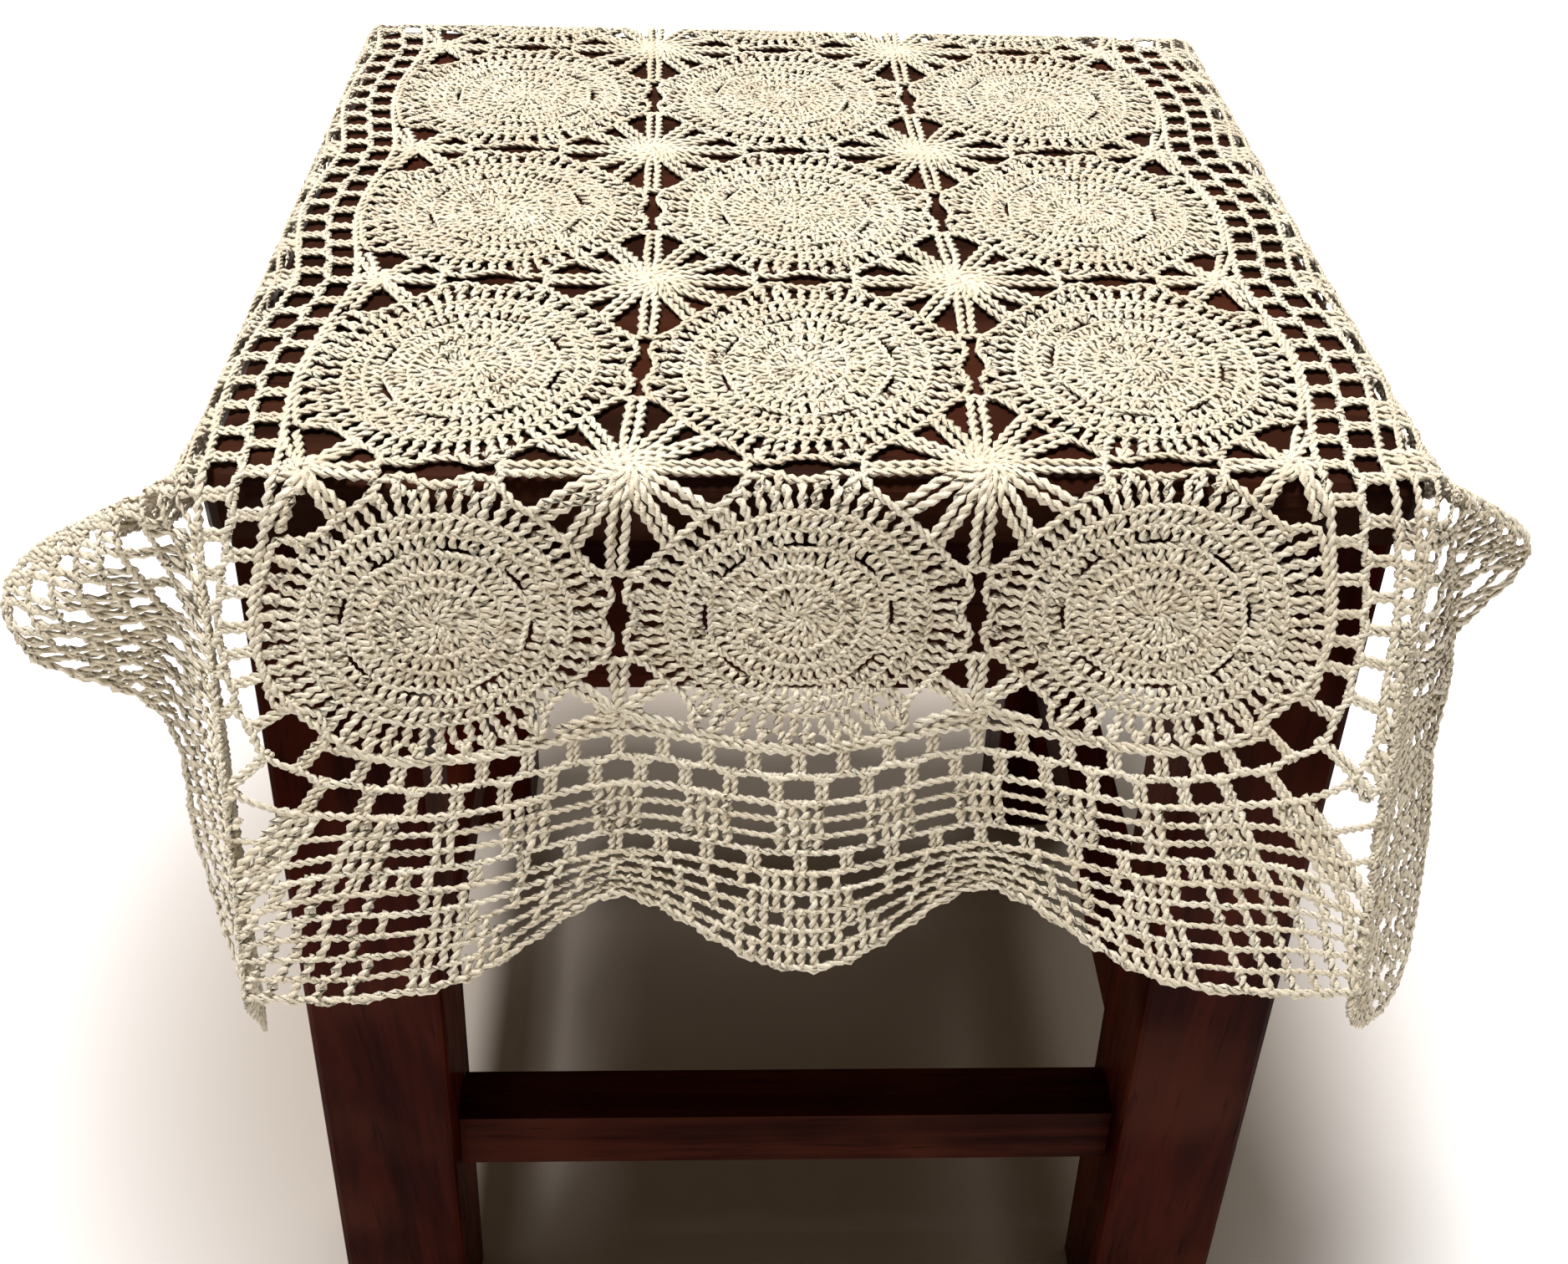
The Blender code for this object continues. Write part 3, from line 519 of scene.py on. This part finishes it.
def motif(middle, joints):
    """All the stitches of one round motif."""
    stitches = []
    turned = unevenness.uniform(0, 360)
    for foot, head, count, lean, height, width in MOTIF_ROUNDS:
        for k in range(count):
            angle = turned + 360 * k / count + jitter(36 / count)
            pinch = (1 if k % 2 else -1) * 75 / count
            bow = jitter(30 / count)
            stitches.append(([
                polar(middle, foot - 0.4 + jitter(0.25), angle - pinch, height + jitter(0.15)),
                polar(middle, (foot + head) / 2, angle + lean / 2 + bow, height + 0.25 + jitter(0.2)),
                polar(middle, head + 0.4 + jitter(0.25), angle + lean, height + jitter(0.15))], width))
    for radius, height in MOTIF_CHAINS:
        stitches.append(([polar(middle, radius + jitter(0.2), turned + 4 * k, height)
                          for k in range(91)], CHAIN_YARN))

    # the ridge, held clear of the round within it along eight curved slits
    slit_turn = turned + 11
    inner = []
    for k in range(121):
        angle = turned + 3 * k
        radius = RIDGE_INSIDE - 0.9 * slit(angle - slit_turn) + jitter(0.1)
        inner.append(polar(middle, radius, angle, 0.45))
    stitches.append((inner, CHAIN_YARN))
    for k in range(57):
        angle = turned + 360 * k / 57 + jitter(0.7)
        foot = RIDGE_INSIDE - 0.2 + 1.3 * slit(angle - slit_turn)
        stitches.append(([polar(middle, foot, angle, 0.1), polar(middle, 28.6, angle + 1.0, 0.6),
                          polar(middle, 31.4 + jitter(0.2), angle + 1.2 + jitter(0.4), 0.2)], RIDGE_YARN))

    # open posts, leaning trebles where the edge swells out to the joints, and a chain on the edge
    for k in range(63):
        angle = turned + 360 * k / 63 + jitter(1.0)
        head = min(44.6, motif_edge(angle % 360, joints) - 1.2)
        stitches.append(([polar(middle, 36.3, angle + jitter(0.5), 0.0), polar(middle, 40.4, angle, 0.25),
                          polar(middle, head, angle + jitter(0.8), 0.0)], POST_YARN))
    for k in range(90):
        angle = turned + 4 * k + jitter(0.8)
        outer = motif_edge(angle % 360, joints) - 1.0
        if outer > 45.6:
            lean = 2.4 if k % 2 else -1.6
            stitches.append(([
                polar(middle, LEANING_FOOT, angle, 0.1),
                polar(middle, (LEANING_FOOT + outer) / 2, angle + lean / 2, 0.4),
                polar(middle, outer + jitter(0.3), angle + lean, 0.1)], LEANING_YARN))
    edge = [polar(middle, motif_edge(angle, joints) - 0.9 + jitter(0.3), angle, 0.35)
            for angle in range(0, 361, 3)]
    stitches.append((edge, EDGE_YARN))
    return stitches


for row in range(5):
    stitches = []
    for column in range(3):
        middle = (PITCH * (column - 1), PITCH * (row - 2))
        joints = [EDGE_AT_SIDE if column < 2 else EDGE_AT_BORDER,
                  EDGE_AT_END if row < 4 else EDGE_AT_BORDER,
                  EDGE_AT_SIDE if column > 0 else EDGE_AT_BORDER,
                  EDGE_AT_END if row > 0 else EDGE_AT_BORDER]
        stitches += motif(middle, joints)
    piece = crocheted(f"motif_row_{row + 1}", stitches, yarn)


# ---- Stars between the motifs -------------------------------------------------------------
# Twelve pairs of tall trebles from one hub fill the space between four motifs, and half
# stars close the field's edge. They are crocheted to the motifs' braided edges.
HALF_STAR_DEPTH = 13.0         # of its hub inside the field's edge
STAR_REACH = 34.0              # of the straight spokes, from the hub to the braids
MOTIF_RADIUS = 44.6            # where the slanting spokes meet the motifs
SPOKES_APART = 1.7             # at the ends of a pair, each from its middle
SPOKE_YARN, BRAID_YARN = 3.5, 3.2
# Spokes of a half star: degrees from the one that points inwards, and length
HALF_STAR_SPOKES = [(0, 21.0), (-47, 17.5), (47, 17.5), (-112, 19.0), (112, 19.0)]


def pair_of_trebles(hub, degrees, reach):
    """Two tall stitches side by side, narrow at the hub."""
    angle = math.radians(degrees)
    ahead, beside = (math.cos(angle), math.sin(angle)), (-math.sin(angle), math.cos(angle))
    pair = []
    for hand in (-1, 1):
        path = []
        for out in (0.2, 0.25 * reach, 0.48 * reach, 0.75 * reach, reach):
            share = out / reach
            off = hand * min(0.132 * out, SPOKES_APART + 0.5 - 0.6 * share) + jitter(0.12)
            path.append((hub[0] + ahead[0] * out + beside[0] * off,
                         hub[1] + ahead[1] * out + beside[1] * off,
                         0.2 + 0.45 * (1 - share)))
        pair.append((path, SPOKE_YARN))
    return pair


def reach_to_motif(degrees):
    """From a star's hub to the edge of the motif on its diagonal."""
    half, turn = PITCH / 2, math.radians(degrees)
    forward = half * math.cos(turn) + half * math.sin(turn)
    inside = forward ** 2 - (2 * half ** 2 - MOTIF_RADIUS ** 2)
    return forward - math.sqrt(inside) if inside > 0 else STAR_REACH


stars = []
for column in (-0.5, 0.5):
    for row in (-1.5, -0.5, 0.5, 1.5):
        hub = (PITCH * column, PITCH * row)
        for k in range(12):
            reach = min(STAR_REACH, reach_to_motif(30 * (k % 3)))
            stars += pair_of_trebles(hub, 30 * k + jitter(1.5), reach)
        # a small braid between the ends of each straight pair and the motifs beside it
        for k in range(4):
            stars.append(([polar(hub, 34.2, 90 * k - 9, 0.1), polar(hub, 33.6, 90 * k, 0.3),
                           polar(hub, 34.2, 90 * k + 9, 0.1)], BRAID_YARN))
for inward, along in (((1, 0), (0, 1)), ((-1, 0), (0, 1)), ((0, 1), (1, 0)), ((0, -1), (1, 0))):
    half = 1.5 * PITCH if inward[0] else 2.5 * PITCH
    joints = range(-3, 4, 2) if inward[0] else range(-1, 2, 2)
    for joint in joints:
        hub = tuple(-inward[k] * (half - HALF_STAR_DEPTH) + along[k] * joint * PITCH / 2
                    for k in (0, 1))
        straight = math.degrees(math.atan2(inward[1], inward[0]))
        for angle, reach in HALF_STAR_SPOKES:
            stars += pair_of_trebles(hub, straight + angle + jitter(1.5), reach)
        for angle in (-80, 80, 150, -150, 180):
            stars.append(pair_of_trebles(hub, straight + angle, 7.0)[0])
        stars.append(([polar(hub, 20.5, straight - 14, 0.1), polar(hub, 20.0, straight, 0.3),
                       polar(hub, 20.5, straight + 14, 0.1)], BRAID_YARN))
star_piece = crocheted("stars", stars, yarn)


# ---- Border rounds ------------------------------------------------------------------------
# Worked round and round outside the field in the same yarn: a chain edge, two rounds of net,
# three of filet blocks and spaces, one of posts, and five that fan out into scallops, with
# small shells on the hem. Beside the corners it is close work with small holes.

# Depth of each round beyond the field, in a valley between two scallops and at a tip, and
# its distance from the corner motif's middle on a corner's diagonal
ROUND_IN_VALLEY = [-6.0, 3.5, 13.0, 19.2, 25.4, 31.6, 39.5, 42.8, 46.1, 49.4, 52.7, 56.0]
ROUND_AT_TIP = [0.0, 9.5, 19.0, 25.2, 31.4, 37.6, 45.5, 53.0, 60.5, 68.0, 75.5, 83.0]
ROUND_ON_DIAGONAL = [48.0, 64.0, 80.0, 97.0, 114.0, 130.0, 146.0]
# The hem round a corner: degrees from the long side, distance from the corner motif's middle
CORNER_HEM = [(-24, 127), (0, 133), (22, 128), (35, 162), (46, 189), (56, 167), (69, 143), (90, 133),
              (114, 127)]
RUNS = [((-1, 0), 4), ((0, -1), 2), ((1, 0), 4), ((0, 1), 2)]      # direction outwards, pitches


def corner_hem(angle):
    """A smooth curve through CORNER_HEM."""
    i = max(k for k in range(1, len(CORNER_HEM) - 2) if CORNER_HEM[k][0] <= angle)
    (a0, r0), (a1, r1), (a2, r2), (a3, r3) = CORNER_HEM[i - 1:i + 3]
    step, t = a2 - a1, (angle - a1) / (a2 - a1)
    low, high = (r2 - r0) * step / (a2 - a0), (r3 - r1) * step / (a3 - a1)
    return ((2 * t ** 3 - 3 * t ** 2 + 1) * r1 + (t ** 3 - 2 * t ** 2 + t) * low
            + (3 * t ** 2 - 2 * t ** 3) * r2 + (t ** 3 - t ** 2) * high)


def corner_reach(side, angle, level):
    """Distance of a round from the corner motif's middle; angle in degrees from side's normal."""
    def inner(k):
        weight = math.sin(math.radians(2 * angle)) ** 4
        return 50 + ROUND_AT_TIP[k] + weight * (ROUND_ON_DIAGONAL[k] - 50 - ROUND_AT_TIP[k])
    if level <= 6:
        low = min(5, int(level))
        return inner(low) + (level - low) * (inner(low + 1) - inner(low))
    hem = corner_hem(angle if side % 2 == 0 else 90 - angle)
    return inner(6) + (level - 6) / 5 * (hem - inner(6))


def border_place(side, where, level, out=0.0):
    """Flat point of the border. where is pitches along the side, and 1 more round the next corner."""
    normal, length = RUNS[side]
    tangent = (-normal[1], normal[0])
    half_along = length / 2 * PITCH
    half_out = PITCH if normal[0] else 2 * PITCH
    if where <= length:
        tip = abs(math.cos(math.pi * where)) ** 1.5
        low = min(10, int(level))
        valley, at_tip = (depths[low] + (level - low) * (depths[low + 1] - depths[low])
                          for depths in (ROUND_IN_VALLEY, ROUND_AT_TIP))
        ahead = where * PITCH - half_along
        away = half_out + PITCH / 2 + valley + (at_tip - valley) * tip + out
    else:
        angle = 90 * (where - length)
        reach = corner_reach(side, angle, level) + out
        ahead = half_along + reach * math.sin(math.radians(angle))
        away = half_out + reach * math.cos(math.radians(angle))
    return (normal[0] * away + tangent[0] * ahead, normal[1] * away + tangent[1] * ahead)


def slide(side, where, level, millimetres):
    """where, moved along the border by so many millimetres."""
    length = RUNS[side][1]
    if where < length or (where == length and millimetres < 0):
        return where + millimetres / PITCH
    angle = 90 * (where - length)
    return where + math.degrees(millimetres / corner_reach(side, angle, level)) / 90


# The net's posts round a corner, in degrees, with three larger cells on the diagonal
NET_CORNER = {1: [10, 20.5, 36, 54, 69.5, 80], 2: [5, 15.5, 28, 45, 62, 74.5, 85]}


def net_posts(side, level):
    length = RUNS[side][1]
    shift = 0.0 if level == 1 else 0.5
    posts = [(k + shift) / 8 for k in range(length * 8 + 1) if (k + shift) / 8 <= length]
    return posts + [length + angle / 90 for angle in NET_CORNER[level]]


# The close work: pitches along a long side from its ends, and shares of the corners after a
# long and a short side
WING, WING_ENDS, WING_BEGINS = 0.35, 0.53, 0.47


def close_work(side, where):
    """Whether this part of the border is close trebles, as the wings beside the corners are."""
    length = RUNS[side][1]
    if side % 2 == 0:
        return where < WING or length - WING < where < length + WING_ENDS
    return where > length + WING_BEGINS


CLOSE_STEP = 3.25              # from treble to treble in the close work
FILET_STEP = 3.4               # from treble to treble in a filet block round a corner
TIP_STEP = 3.2                 # from treble to treble at a scallop's tip
OPEN_STEP = 7.5                # from join to join in the open part of a corner's hem
HALF_TIP = {7: 11.0, 8: 15.0, 9: 18.5, 10: 21.5, 11: 24.5}   # half width of a tip's close trebles


def close_posts(side, level, period):
    """Trebles all through the close work, with one left out in each period."""
    posts, where, k = [], 0.01, 2 * level
    while where < RUNS[side][1] + 0.985:
        if close_work(side, where) and k % period:
            posts.append(where)
        where, k = slide(side, where, level, CLOSE_STEP), k + 1
    return posts


def filet_posts(side, level):
    length = RUNS[side][1]
    posts = close_posts(side, level, 4)
    for block in range(length * 4 + 1):
        posts += [block / 4 + off / PITCH for off in (-5.25, -1.75, 1.75, 5.25)
                  if 0 <= block / 4 + off / PITCH <= length and not close_work(side, block / 4)]
    for block in (12, 28, 45, 62, 78):
        if not close_work(side, length + block / 90):
            posts += [slide(side, length + block / 90, level, FILET_STEP * k)
                      for k in (-1.5, -0.5, 0.5, 1.5)]
    return sorted(posts)


def post_round(side, level):
    length = RUNS[side][1]
    posts = [k / 8 for k in range(length * 8 + 1)]
    return posts + [length + k / 24 for k in range(1, 24)]


def hem_posts(side, level):
    """Trebles packed at the tips and in the close work, and single joins in the valleys."""
    length = RUNS[side][1]
    half_width = HALF_TIP[level]
    count = int(half_width / TIP_STEP)
    cells = 7 if level < 9 else 6
    valley = (PITCH - 2 * half_width - 8) / (2 * cells)
    open_work = []
    for tip in range(length + 1):
        open_work += [tip + k * TIP_STEP / PITCH
                      for k in range(-count, count + 1) if (k + 2 * level) % 8]
        open_work += [tip + (half_width + 4 + (2 * k + 1 + level % 2 * 0.9) * valley) / PITCH
                      for k in range(cells)]
    posts = close_posts(side, level, 5)
    posts += [where for where in open_work if 0 <= where <= length and not close_work(side, where)]
    where = length + 0.06
    while where < length + 0.95:
        beside = 90 * (where - length) if side % 2 else 90 - 90 * (where - length)
        if not close_work(side, where):
            posts.append(where)
        where = slide(side, where, level, FILET_STEP if beside > 28 else OPEN_STEP)
    return sorted(posts)


HEM = 11                       # the last round
# What stands in each round, how wide its posts are, and how wide the chain on their heads is
POSTS = {1: net_posts, 2: net_posts, 3: filet_posts, 4: filet_posts, 5: filet_posts, 6: post_round,
         7: hem_posts, 8: hem_posts, 9: hem_posts, 10: hem_posts, HEM: hem_posts}
POST_WIDTH = {net_posts: 2.7, filet_posts: 3.8, post_round: 2.7, hem_posts: 3.5}
CHAIN_WIDTH = {0: 3.4, 1: 3.0, 2: 3.0, 6: 3.0, HEM: 3.2}
OTHER_CHAIN_WIDTH = 2.6
DOUBLE_POSTS = (net_posts, post_round)     # two strands of yarn side by side
DOUBLE_APART = 0.95            # each from the pair's middle
SHORT_ROWS = range(3, 7)       # rounds worked as two short rows in the close work
HALF_CHAIN = 2.8               # width of the chain between them


def round_of_border(level, wave):
    """A round's posts, and the chain on their heads, pulled in and out by the posts it carries."""
    stitches, chain = [], []
    for side in range(4):
        length = RUNS[side][1]
        knots = [(k / 10, 0) for k in range(length * 10)]
        knots += [(length + k / 16, 0) for k in range(16)]
        if level > 0:
            kind = POSTS[level]
            for where in kind(side, level):
                place = max(where, 0)
                if (level in SHORT_ROWS and length + 0.12 < where < length + 0.88
                        and close_work(side, where)):
                    # the holes of one short row are set over the stitches of the other
                    shifted = min(slide(side, place, level, 8 if level != 6 else 0), length + 0.97)
                    rows = [(place, level - 1, level - 0.5), (shifted, level - 0.5, level)]
                elif kind in DOUBLE_POSTS:
                    rows = [(max(slide(side, place, level, off), 0), level - 1, level)
                            for off in (-DOUBLE_APART, DOUBLE_APART)]
                else:
                    rows = [(place, level - 1, level)]
                for place, low, high in rows:
                    foot = border_place(side, place, low, -1.3)
                    head = border_place(side, place, high, 1.1)
                    stitches.append(([
                        (*foot, jitter(0.15)),
                        ((foot[0] + head[0]) / 2 + jitter(0.3), (foot[1] + head[1]) / 2 + jitter(0.3),
                         0.3 + jitter(0.2)),
                        (*head, jitter(0.15))], POST_WIDTH[kind]))
                knots.append((where, -wave))
        if 0 < level < HEM:
            knots += [(where, wave) for where in POSTS[level + 1](side, level + 1)]
        pulls = sorted(k for k in knots if k[1] and k[0] >= 0)
        kept = list(pulls)
        for where, pull in knots:
            if not pull and all(abs(where - other) > 0.035 for other, _ in pulls):
                kept.append((where, pull))
        for where, pull in sorted(kept):
            if 0 <= where < length + 1:
                crowd = sum(abs(where - other) < 0.04 for other, _ in pulls)
                amount = pull if crowd < 2 else pull * 0.15
                point = border_place(side, where, level, amount + jitter(0.15))
                chain.append((*point, 0.35 + jitter(0.15)))
        if level in SHORT_ROWS:
            halves = [length + k / 25 for k in range(3, 23) if close_work(side, length + k / 25)]
            stitches.append(([(*border_place(side, where, level - 0.5, jitter(0.3)), 0.3)
                              for where in halves], HALF_CHAIN))
    chain.append(chain[0])
    stitches.append((chain, CHAIN_WIDTH.get(level, OTHER_CHAIN_WIDTH)))
    return stitches


edge_and_net = round_of_border(0, 0.8) + round_of_border(1, 1.5) + round_of_border(2, 1.0)
net_piece = crocheted("net_rounds", edge_and_net, yarn)
filet = [stitch for level in (3, 4, 5) for stitch in round_of_border(level, 0.5)]
filet_piece = crocheted("filet_rounds", filet, yarn)
fans = [stitch for level in (6, 7, 8) for stitch in round_of_border(level, 0.8)]
fan_piece = crocheted("fan_rounds", fans, yarn)
scallops = [stitch for level in (9, 10, HEM) for stitch in round_of_border(level, 0.7)]
# shells: a low arch with a stitch in it, all along the hem
SHELL_PITCH = 9.0
for side in range(4):
    where = 0.0
    while where < RUNS[side][1] + 0.97:
        low, top, high = (slide(side, where, HEM, step) for step in (0.8, 4.4, 8.0))
        arch = [(low, -0.4), ((low + top) / 2, 1.0), (top, 1.6), ((top + high) / 2, 1.0),
                (high, -0.4)]
        scallops.append(([(*border_place(side, place, HEM, out + jitter(0.3)), 0.1)
                          for place, out in arch], 2.9))
        scallops.append(([(*border_place(side, top, HEM, out), 0.2) for out in (-1.0, 1.0)], 3.2))
        where = slide(side, where, HEM, SHELL_PITCH)
hem_piece = crocheted("scalloped_hem", scallops, yarn)


# ---- Floor and light ----------------------------------------------------------------------
# A plain pale studio floor, with painted shade in its colour under the stool and a painted glow
# away from it, and a soft lamp high above and to the left of the stool and a weak one behind.
# painted shade: the floor's colour is darker under the stool and pale away from it
FLOOR_PAINTED_SHADE, FLOOR_AWAY = (0.42, 0.36, 0.30, 1), (0.93, 0.915, 0.895, 1)
# painted light: the floor glows away from the stool, though it is no lamp
FLOOR_PAINTED_LIGHT = (0.66, 0.65, 0.635, 1)
NO_GLOW = (0, 0, 0, 1)
bpy.ops.mesh.primitive_plane_add(size=9.0, location=(0, 0, 0))
floor = bpy.context.object
floor.name = "studio_floor"
material, tree, surface = new_material("pale_floor", 0.8)
place = Shade(tree).node("ShaderNodeTexCoord", output=3)
away = place.node("ShaderNodeVectorMath", {"operation": "LENGTH"}, {0: place}, output=1)
# painted shade: darker floor colour within about 0.2 m of the stool, pale beyond 0.5 m
tree.links.new(away.between(0.20, 0.50).blend(FLOOR_PAINTED_SHADE, FLOOR_AWAY).socket,
               surface.inputs["Base Color"])
# painted light: the floor's emission grows from nothing near the stool to a glow farther out
tree.links.new(away.between(0.28, 0.72).blend(NO_GLOW, FLOOR_PAINTED_LIGHT).socket,
               surface.inputs["Emission Color"])
surface.inputs["Emission Strength"].default_value = 1.0
floor.data.materials.append(material)


def soft_lamp(name, place, aim, size, power, colour):
    bpy.ops.object.light_add(type="AREA", location=place)
    lamp = bpy.context.object
    lamp.name = name
    lamp.data.shape = "DISK"
    lamp.data.size = size
    lamp.data.energy = power
    lamp.data.color = colour
    lamp.rotation_euler = (Vector(aim) - Vector(place)).to_track_quat("-Z", "Y").to_euler()


soft_lamp("window_light", (-0.60, -0.15, 4.0), (0, 0, 0.3), 1.0, 210, (0.99, 1.0, 1.03))
soft_lamp("back_light", (0.60, 1.40, 3.6), (0, 0.4, 0.35), 1.2, 30, (1.0, 0.99, 0.97))
bpy.context.scene.view_settings.view_transform = "Standard"
world = bpy.data.worlds.new("studio")
bpy.context.scene.world = world
world.use_nodes = True
surroundings = world.node_tree.nodes["Background"]
surroundings.inputs["Color"].default_value = (1.0, 0.80, 0.58, 1)
surroundings.inputs["Strength"].default_value = 0.12
